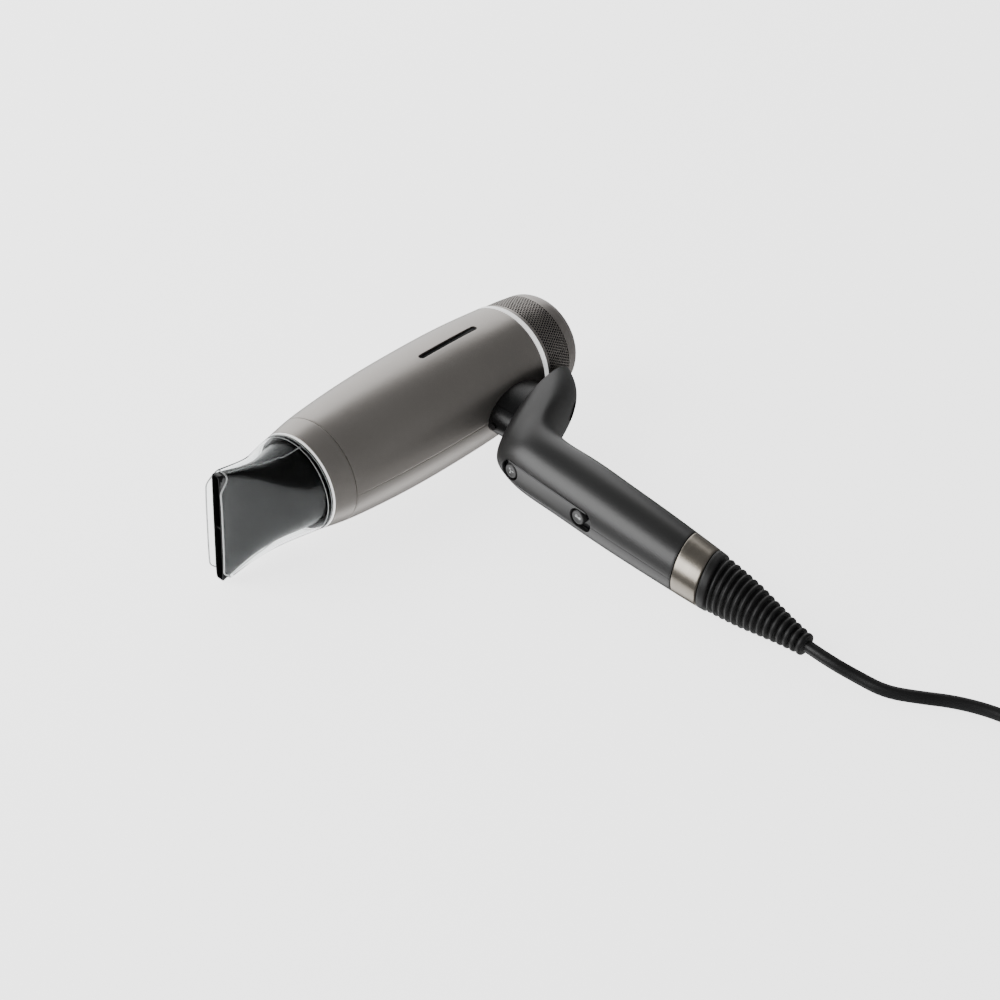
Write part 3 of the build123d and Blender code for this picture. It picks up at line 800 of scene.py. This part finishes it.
def handleStations(values):
    # Each section's distance along the handle, its front point, rear point and half width.
    sections = list(values["head"])
    for t, r in values["radii"]:
        middle = handleTop + downHandle * t
        front, rear = middle - rearward * r, middle + rearward * r
        sections.append(((front.x, front.y), (rear.x, rear.y), r))
    stations, place, before = [], 0.0, None
    for front, rear, half in sections:
        middle = Vector(((front[0] + rear[0]) / 2, (front[1] + rear[1]) / 2))
        if before is not None:
            place += (middle - before).length
        before = middle
        stations.append((place, *front, *rear, half))
    return stations


stations = handleStations(handleValues)
firstRound = len(handleValues["head"])
# On the round part, a station's place is its distance t below the barrel's axis plus this.
downToStation = stations[firstRound][0] - handleValues["radii"][0][0]


def handleGrid(places, angles, inset):
    # Rings at each place; a place may be a list, one for each angle, where the ring is slanted.
    grid = []
    for place in places:
        row = []
        around = place if isinstance(place, list) else [place] * len(angles)
        for a, (fx, fy, rx, ry, half) in zip(angles, curveThrough(stations, around)):
            middle = Vector(((fx + rx) / 2, (fy + ry) / 2, 0))
            across = Vector(((rx - fx) / 2, (ry - fy) / 2, 0))
            length = across.length
            across *= (length - inset) / length
            row.append(middle - across * math.cos(a) + Vector((0, 0, (half - inset) * math.sin(a))))
        grid.append(row)
    return grid


def slantedPlaces(t, angles):
    # Along the slanted cut that crosses the axis at t: further down the handle at the front.
    rise = math.tan(math.radians(handleValues["bandSlant"])) * handleValues["bandR"]
    return [t + downToStation + rise * math.cos(a) for a in angles]


def between(first, last, share):
    return [f * (1 - share) + g * share for f, g in zip(first, last)]


def slantedSleeve(name, first, last, shape, wall, angles):
    # A sleeve round the handle between two slanted cuts; shape gives the outside's inset along it.
    places = [between(first, last, share) for share, inset in shape]
    outer = [handleGrid([place], angles, inset)[0] for place, (share, inset) in zip(places, shape)]
    return wallPiece(name, outer, handleGrid(places, angles, wall))


def frontPlane(t):
    # x down the handle, y across it, z out of its front.
    out = -rearward
    across = out.cross(downHandle)
    facing = Matrix((downHandle, across, out)).transposed().to_4x4()
    return Matrix.Translation(handleTop + downHandle * t) @ facing


controlValues = {
    "from": 74.0, "to": 148.0, "half": 6.9, "fanT": 81.5, "heatT": 137.0, "buttonR": 4.6,
    # a button's height above the handle's axis and its radius there, up its side and over its dished face
    "buttonProfile": [(13.3, 4.6), (17.7, 4.6), (18.2, 4.52), (18.5, 4.3), (18.65, 3.95), (18.6, 3.5),
                      (18.45, 2.6), (18.4, 1.4), (18.38, 0.3)],
    "rearAt": (-9.0, -66.5), "rearLean": 27.0, "rearHalf": 8.0, "rearR": 4.2,
}


def rearPlane(values):
    tip = math.radians(values["rearLean"])
    out = Vector((math.sin(tip), -math.cos(tip), 0))
    along = Vector((math.cos(tip), math.sin(tip), 0))
    facing = Matrix((along, out.cross(along), out)).transposed().to_4x4()
    return Matrix.Translation((*values["rearAt"], 0)) @ facing


def makeHandle(values, controls):
    ease, wall = values["rimEase"], values["wall"]
    endT = values["bandFrom"] + downToStation
    for side, name in ((1, "left"), (-1, "right")):
        split = values["seam"] / values["seamR"]
        angles = [side * a for a in spread(split, math.pi - split, values["halfColumns"])]
        outer, inner = [], []
        for k in range(7):
            a = math.pi / 2 * (1 - k / 6)
            outer += handleGrid([ease * (1 - math.sin(a))], angles, ease * (1 - math.cos(a)))
            inner += handleGrid([ease * 0.4 + ease * 0.6 * k / 6], angles, wall)
        places = spread(ease + 0.8, endT - 22, 120)
        outer += handleGrid(places, angles, 0.0)
        inner += handleGrid(places, angles, wall)
        cut = slantedPlaces(values["bandFrom"], angles)
        start = [endT - 22] * len(angles)
        ending = [between(start, cut, share) for share in spread(0.05, 1.0, 16)]
        outer += handleGrid(ending, angles, 0.0)
        inner += handleGrid(ending, angles, wall)
        shell = wallPiece("handle_" + name + "_half", outer, inner, False)
        middle = (controls["from"] + controls["to"]) / 2
        recess = capsulePrism("recessCut", frontPlane(middle), controls["to"] - controls["from"],
                              2 * controls["half"], 10.0, 40.0)
        rear = capsulePrism("rearCut", rearPlane(controls), 2 * controls["rearHalf"] + 0.5,
                            2 * controls["rearR"] + 0.5, -7.0, 20.0)
        cutWith(shell, recess, rear)
        discard(recess, rear)
        finishPiece(shell, "dryer", charcoalLacquer, ["handle_" + name + "_shell"],
                    bevel=0.22)
    # The head's top: a black plate a little below the rim, which the neck comes out of. Its black is partly the
    # neck's own black plastic and partly painted shade between the head and the barrel.
    angles = roundTurn(144)
    rows = handleGrid([1.0, 1.25, 3.0], angles, wall + 0.1)
    plate = solidPiece("head_plate", rows)
    finishPiece(plate, "dryer", blackGloss)
    # The champagne band, with a small groove at each end.
    first = slantedPlaces(values["bandFrom"] + 0.25, angles)
    last = slantedPlaces(values["bandTo"] - 0.25, angles)
    shape = [(0.0, 0.5), (0.012, 0.2), (0.03, 0.04), (0.05, 0.0)] + [(s, 0.0) for s in spread(0.1, 0.9, 11)]
    shape += [(0.95, 0.0), (0.97, 0.04), (0.988, 0.2), (1.0, 0.5)]
    band = slantedSleeve("handle_band_sleeve", first, last, shape, 1.6, angles)
    finishPiece(band, "dryer", champagneAluminium, ["handle_band"])


makeHandle(handleValues, controlValues)
print("handle made")


def makeControls(values):
    middle = (values["from"] + values["to"]) / 2
    length, width = values["to"] - values["from"], 2 * values["half"]
    floorSlab = capsulePrism("control_recess_floor", frontPlane(middle), length + 0.6, width + 0.6,
                             14.4, 15.8)
    finishPiece(floorSlab, "dryer", blackGloss, ["control_panel"])
    # The thumb strip between the two buttons, raised and hollowed for a button at each end.
    strip = capsulePrism("control_strip", frontPlane(middle), length - 0.5, width - 0.7, 15.7, 18.9, 0.9)
    pocket = 2 * (values["buttonR"] + 1.3)
    ends = [capsulePrism("buttonCut", frontPlane(t), 12 + pocket, pocket, 10.0, 30.0)
            for t in (values["fanT"] - 6, values["heatT"] + 6)]
    cutWith(strip, *ends)
    discard(*ends)
    finishPiece(strip, "dryer", charcoalLacquer, bevel=0.25)
    buttons = (("fan", values["fanT"], fanOutlines()), ("heat", values["heatT"], heatOutlines()))
    for name, t, outlines in buttons:
        body = name + "_button"
        where = frontPlane(t)
        rows = [[where @ Vector((r * math.cos(a), r * math.sin(a), depth)) for a in roundTurn(56)]
                for depth, r in values["buttonProfile"]]
        button = solidPiece(body + "_cap", rows)
        finishPiece(button, body, charcoalLacquer, [body])
    for name, t, outlines in buttons:
        mark = markOn(name + "_mark", t, outlines)
        finishPiece(mark, name + "_button", markInk)
    rear = capsulePrism("rear_button_cap", rearPlane(values), 2 * values["rearHalf"], 2 * values["rearR"],
                        -4.2, -1.3, 0.8)
    finishPiece(rear, "rear_button", neckPlastic, ["rear_button"])


def fanOutlines():
    # Three blades round a hub.
    shapes = [[(0.42 * math.cos(a), 0.42 * math.sin(a)) for a in roundTurn(14)]]
    for k in range(3):
        blade = []
        for share in spread(0.0, 1.0, 9):
            blade.append((0.65 + 1.6 * share, 0.95 * math.sin(math.pi * share) * (0.4 + 0.6 * share)))
        for share in spread(1.0, 0.0, 9)[1:-1]:
            blade.append((0.65 + 1.6 * share, -0.15 * math.sin(math.pi * share)))
        turn = 2 * math.pi * k / 3
        shapes.append([(x * math.cos(turn) - y * math.sin(turn), x * math.sin(turn) + y * math.cos(turn))
                       for x, y in blade])
    return shapes


def heatOutlines():
    # A thermometer: a stem, a bulb and two ticks.
    bulb = [(1.5 + 0.75 * math.cos(a), 0.75 * math.sin(a)) for a in roundTurn(18)]
    stem = [(-2.0, -0.3), (0.85, -0.3), (0.85, 0.3), (-2.0, 0.3)]
    ticks = [[(x, 0.7), (x + 0.28, 0.7), (x + 0.28, 1.5), (x, 1.5)] for x in (-1.5, -0.5)]
    return [bulb, stem] + ticks


def markOn(name, t, outlines):
    pieces = []
    for outline in outlines:
        rows = [[frontPlane(t) @ Vector((x, y, depth)) for x, y in outline] for depth in (18.3, 18.52)]
        pieces.append(solidPiece(name, rows))
    return joinMeshes(name, pieces)


makeControls(controlValues)
print("controls made")


bootValues = {
    "radii": [(222.0, 16.3), (231.0, 15.6), (240.0, 14.6), (250.0, 13.2), (260.0, 11.3), (270.0, 9.4),
              (280.0, 7.7), (290.9, 6.3)],
    "collarTo": 226.3, "ribFrom": 227.3, "ribTo": 290.9, "ribCount": 15,
    "firstTilt": 14.0, "lastTilt": 2.0, "groove": 2.0, "ribShare": 0.6,
}


def ribTree(rib, material):
    # One rounded rib on each point, as wide as the point's own radius and tilted by its own angle.
    tree, given = growthTree("bootRibs", [("Geometry", "Geometry"), ("Thickness", "Float")])
    wide = addNode(tree, "GeometryNodeInputNamedAttribute", {"data_type": "FLOAT"}, {"Name": "ribRadius"})
    size = addNode(tree, "ShaderNodeCombineXYZ", links={
        "X": given["Thickness"], "Y": wide.outputs[0], "Z": wide.outputs[0]})
    lean = addNode(tree, "GeometryNodeInputNamedAttribute", {"data_type": "FLOAT"}, {"Name": "ribTilt"})
    turn = addNode(tree, "ShaderNodeCombineXYZ", links={"Z": lean.outputs[0]})
    source = addNode(tree, "GeometryNodeObjectInfo", {"transform_space": "ORIGINAL"}, {"Object": rib})
    placed = addNode(tree, "GeometryNodeInstanceOnPoints", links={
        "Points": given["Geometry"], "Instance": source.outputs["Geometry"], "Scale": size.outputs[0],
        "Rotation": turn.outputs[0]})
    return endTree(tree, placed.outputs[0], material)


def ribSolid():
    # A disc of radius and thickness 1 with a round edge.
    profile = [(-0.5, 0.7)]
    for k in range(9):
        a = math.pi * k / 8
        profile.append((-0.5 * math.cos(a), 0.91 + 0.09 * math.sin(a)))
    profile.append((0.5, 0.7))
    return solidPiece("bootRib", turned(profile, roundTurn(72)), Matrix.Identity(4))


def makeBoot(values):
    downPlace = placeDryer @ Matrix.Translation(handleTop) @ Matrix((
        (downHandle.x, rearward.x, 0, 0), (downHandle.y, rearward.y, 0, 0), (0, 0, -1, 0), (0, 0, 0, 1)))
    angles = roundTurn(96)
    # Collar: a slanted hoop next to the band.
    first = slantedPlaces(handleValues["bandTo"] + 0.2, angles)
    last = slantedPlaces(values["collarTo"], angles)
    shape = ((0.0, 0.45), (0.04, 0.15), (0.09, 0.0), (0.35, 0.0), (0.65, 0.0), (0.88, 0.0),
             (0.95, 0.15), (1.0, 0.6))
    collar = slantedSleeve("boot_collar", first, last, shape, 3.6, angles)
    finishPiece(collar, "dryer", bootRubber)
    # Core under the ribs, which the cord comes out of.
    ts = spread(218.0, values["ribTo"] - 0.6, 34)
    core = [(t, r - values["groove"]) for t, (r,) in zip(ts, curveThrough(values["radii"], ts))]
    stem = solidPiece("boot_core", turned(core, angles), downPlace)
    finishPiece(stem, "dryer", bootRubber, ["boot"])
    pitch = (values["ribTo"] - values["ribFrom"]) / values["ribCount"]
    centres = [values["ribFrom"] + pitch * (k + 0.5) for k in range(values["ribCount"])]
    widths = [r for r, in curveThrough(values["radii"], centres)]
    after = [r for r, in curveThrough(values["radii"], [t + 1 for t in centres])]
    tilts = [math.radians(a) for a in spread(values["firstTilt"], values["lastTilt"], values["ribCount"])]
    # A tilted rib on a taper sits a little to the rear, so that it stands out evenly all round.
    shifts = [(r - s) * r * math.tan(a) for r, s, a in zip(widths, after, tilts)]
    mesh = bpy.data.meshes.new("ribCentres")
    mesh.from_pydata([(t, y, 0) for t, y in zip(centres, shifts)], [], [])
    for name, numbers in (("ribRadius", widths), ("ribTilt", tilts)):
        mesh.attributes.new(name, "FLOAT", "POINT").data.foreach_set("value", numbers)
    rib = ribSolid()
    ribs = growFrom(ribTree(rib, bootRubber), "boot_ribs", {"Thickness": values["ribShare"] * pitch}, mesh)
    ribs.data.transform(downPlace @ placeDryer.inverted())
    discard(rib)
    finishPiece(ribs, "dryer", bootRubber)


makeBoot(bootValues)
print("boot made")


nozzleValues = {
    # x, half height in y, half width in z, squareness of the section
    "shell": [(-178.6, 30.2, 30.2, 2.0), (-189.0, 27.6, 29.4, 2.0), (-200.0, 21.6, 30.0, 2.2),
              (-211.0, 15.2, 32.2, 2.5), (-222.0, 10.4, 34.8, 3.0), (-232.0, 7.8, 37.0, 3.6),
              (-239.6, 7.0, 38.2, 4.0)],
    "core": [(-176.4, 26.4, 26.4, 2.0), (-189.0, 23.4, 26.2, 2.0), (-200.0, 17.4, 27.0, 2.2),
             (-211.0, 11.4, 29.4, 2.5), (-222.0, 6.4, 32.6, 3.4), (-231.0, 4.0, 35.4, 5.5),
             (-237.8, 3.6, 37.2, 8.0)],
    "shellWall": 1.1, "coreWall": 1.0, "ridgeLean": 0.2, "around": 160,
    "notchDeep": 6.5, "notchFrom": 27.0, "notchTo": 37.5,
}


def nozzlePoint(sections, x, angle, inset):
    (halfY, halfZ, power), = curveThrough(sections, [x])
    c, s = math.cos(angle), math.sin(angle)
    return Vector((x, (halfY - inset) * math.copysign(abs(c) ** (2 / power), c),
                   (halfZ - inset) * math.copysign(abs(s) ** (2 / power), s)))


def nozzleGrid(sections, shares, count, inset, frontEdge):
    # Rings from the base to the front; frontEdge gives the front's x for a half width z.
    rising = sorted(sections)
    base, front = rising[-1][0], rising[0][0]
    grid = []
    for share, more in shares:
        row = []
        for angle in roundTurn(count):
            tip = nozzlePoint(rising, front, angle, inset)
            x = base + (frontEdge(abs(tip.z)) - base) * share
            row.append(nozzlePoint(rising, x, angle, inset + more))
        grid.append(row)
    return grid


def beadAlong(name, line, r, closed=True, around=8):
    # A round bead along a line.
    count = len(line)
    rings = []
    for k, here in enumerate(line):
        after = (k + 1) % count if closed else min(k + 1, count - 1)
        before = k - 1 if closed else max(k - 1, 0)
        along = (line[after] - line[before]).normalized()
        side = along.cross(Vector((1, 0, 0)) if closed else Vector((0, 0, 1))).normalized()
        rise = side.cross(along).normalized()
        rings.append([here + side * r * math.cos(a) + rise * r * math.sin(a) for a in roundTurn(around)])
    if not closed:
        return solidPiece(name, rings)
    return newObject(name, [p for ring in rings for p in ring], loopedFaces(count, around))


def makeNozzle(values):
    def notched(z):
        share = max(0.0, min(1.0, (z - values["notchFrom"]) / (values["notchTo"] - values["notchFrom"])))
        smooth = share * share * (3 - 2 * share)
        return values["shell"][-1][0] + values["notchDeep"] * smooth

    def straight(z):
        return values["core"][-1][0]
    plain = [(s, 0.0) for s in spread(0.0, 0.985, 60)]
    eased = plain + [(0.993, 0.08), (0.998, 0.2), (1.0, 0.4)]
    reach = plain + [(0.993, -0.08), (0.998, -0.2), (1.0, -0.4)]
    around = values["around"]
    outer = nozzleGrid(values["shell"], eased, around, 0.0, notched)
    inner = nozzleGrid(values["shell"], reach, around, values["shellWall"], notched)
    shell = wallPiece("nozzle_clear_shell", outer, inner)
    finishPiece(shell, "nozzle", clearPlastic, ["nozzle_shell"])
    middles = [[(p + q) / 2 for p, q in zip(outer[k], inner[k])] for k in (0, -1)]
    baseRim, outerRim = [p + Vector((-0.1, 0, 0)) for p in middles[0]], middles[1]
    ridgeShares = [(s, 0.35) for s in spread(0.02, 0.95, 30)]
    ridgeRows = nozzleGrid(values["shell"], ridgeShares, around, 0.0, notched)
    stepRim = nozzleGrid(values["shell"], [(0.045, 0.3)], around, 0.0, notched)[0]
    outer = nozzleGrid(values["core"], eased, around, 0.0, straight)
    flush = plain + [(0.993, 0.0), (0.998, 0.0), (1.0, 0.0)]
    inner = nozzleGrid(values["core"], flush, around, values["coreWall"], straight)
    core = wallPiece("nozzle_inner_duct", outer, inner)
    finishPiece(core, "nozzle", nozzleNylon, ["nozzle_core"])
    # The divider: a small web across the middle of the slot.
    section = ((-2.3, -0.5), (2.3, -0.5), (2.3, 0.5), (-2.3, 0.5))
    divider = solidPiece("nozzle_divider", [[(x, y, z) for y, z in section] for x in (-236.9, -230.0)])
    finishPiece(divider, "nozzle", nozzleNylon, bevel=0.15)
    # The seat ring takes the near-black diffuser finish: painted shade for the shadowed groove it sits in, not the
    # ring's own bright colour.
    seat = ringPiece("nozzle_seat_ring", [(-178.5, 29.7), (-177.65, 29.75)], 3.0, edge=0.25)
    finishPiece(seat, "nozzle_seat", diffuserAndPaintedShade, ["nozzle_ring"])
    # Pale beads along the clear shell's cut edges and moulded ridges: painted highlights where these catch the
    # light.
    edges = [("nozzle_front_edge", outerRim, 0.42), ("nozzle_base_edge", baseRim, 0.2),
             ("nozzle_base_step", stepRim, 0.25)]
    for side, name in ((1, "upper"), (-1, "lower")):
        ridge = [max(row, key=lambda p: side * p.z - values["ridgeLean"] * p.y) for row in ridgeRows]
        edges.append(("nozzle_" + name + "_ridge", ridge, 0.35))
    for name, line, r in edges:
        bead = beadAlong(name, line, r, closed="ridge" not in name)
        finishPiece(bead, "nozzle", paintedEdgeHighlight)


makeNozzle(nozzleValues)
print("nozzle made")


# The CAD pieces that keep their shape, each in its slot's finish or its own.
bySlot = {"dark_plastic": neckPlastic, "rubber": bootRubber, "cord_jacket": cordJacket,
          "handle_shell": charcoalLacquer, "bright_metal": trimWithPaintedGlow, "satin_metal": champagneAluminium,
          "brass_pin": nickelPin, "barrel_shell": bronzeLacquer, "filter_metal": filterSteel,
          "clear_plastic": clearPlastic}
# The filter's mesh takes the near-black gauze, which is partly painted shade inside the filter.
ownFinish = {"filter_mesh": gauzeAndPaintedShade, "neck_screw": neckPlastic}
for slotName, values in innerFinishes.items():
    bySlot[slotName] = makeFinish("inner_" + slotName, values)
for subpart in frame["record"]["subparts"]:
    node = frame["nodes"][subpart["node"]]
    material = ownFinish.get(subpart["node"], bySlot[subpart["material_slot"]])
    for place in range(len(node.data.materials)):
        node.data.materials[place] = material
print("inner pieces painted")


studioValues = {
    "floorSize": 8.0, "floorColour": "#F7F7F6", "floorGlow": 2.6, "world": 0.15,
    "lights": [
        # name, place, size, power, aimed at
        ("backSoftbox", (1.05, 1.45, 0.62), (2.2, 2.1), 22.0, (0.0, 0.0, 0.05)),
        ("leftSoftbox", (-1.1, 1.0, 0.9), (1.4, 1.2), 26.0, (0.0, 0.0, 0.05)),
        ("lowSoftbox", (-0.5, 0.75, -0.95), (1.2, 1.0), 6.0, (0.0, 0.0, 0.0)),
        ("rimSoftbox", (0.6, -0.1, -1.25), (0.5, 0.8), 1.8, (0.0, 0.0, 0.0)),
    ],
}


def makeStudio(values):
    half = values["floorSize"] / 2
    mesh = bpy.data.meshes.new("studioFloor")
    corners = [(-half, -half, 0), (half, -half, 0), (half, half, 0), (-half, half, 0)]
    mesh.from_pydata(corners, [], [(0, 1, 2, 3)])
    floor = addObject("studioFloor", mesh)
    floor.location.z = -0.0003
    # The metal mirrors only the softboxes, and the two below the paper shine through it.
    floor.visible_glossy = False
    floor.visible_shadow = False
    paper = bpy.data.materials.new("studioPaper")
    paper.use_nodes = True
    shader = paper.node_tree.nodes["Principled BSDF"]
    shader.inputs["Base Color"].default_value = hexColour(values["floorColour"])
    shader.inputs["Roughness"].default_value = 0.9
    shader.inputs["Emission Color"].default_value = (1, 1, 1, 1)
    shader.inputs["Emission Strength"].default_value = values["floorGlow"]
    mesh.materials.append(paper)
    world = bpy.data.worlds.new("studioWorld")
    world.use_nodes = True
    world.node_tree.nodes["Background"].inputs["Color"].default_value = (1, 1, 1, 1)
    world.node_tree.nodes["Background"].inputs["Strength"].default_value = values["world"]
    bpy.context.scene.world = world
    for name, place, size, power, aim in values["lights"]:
        data = bpy.data.lights.new(name, "AREA")
        data.shape = "RECTANGLE"
        data.size, data.size_y = size
        data.energy = power
        lamp = addObject(name, data)
        lamp.location = place
        lamp.rotation_mode = "QUATERNION"
        lamp.rotation_quaternion = (Vector(aim) - Vector(place)).to_track_quat("-Z", "Y")


makeStudio(studioValues)
print("studio made")
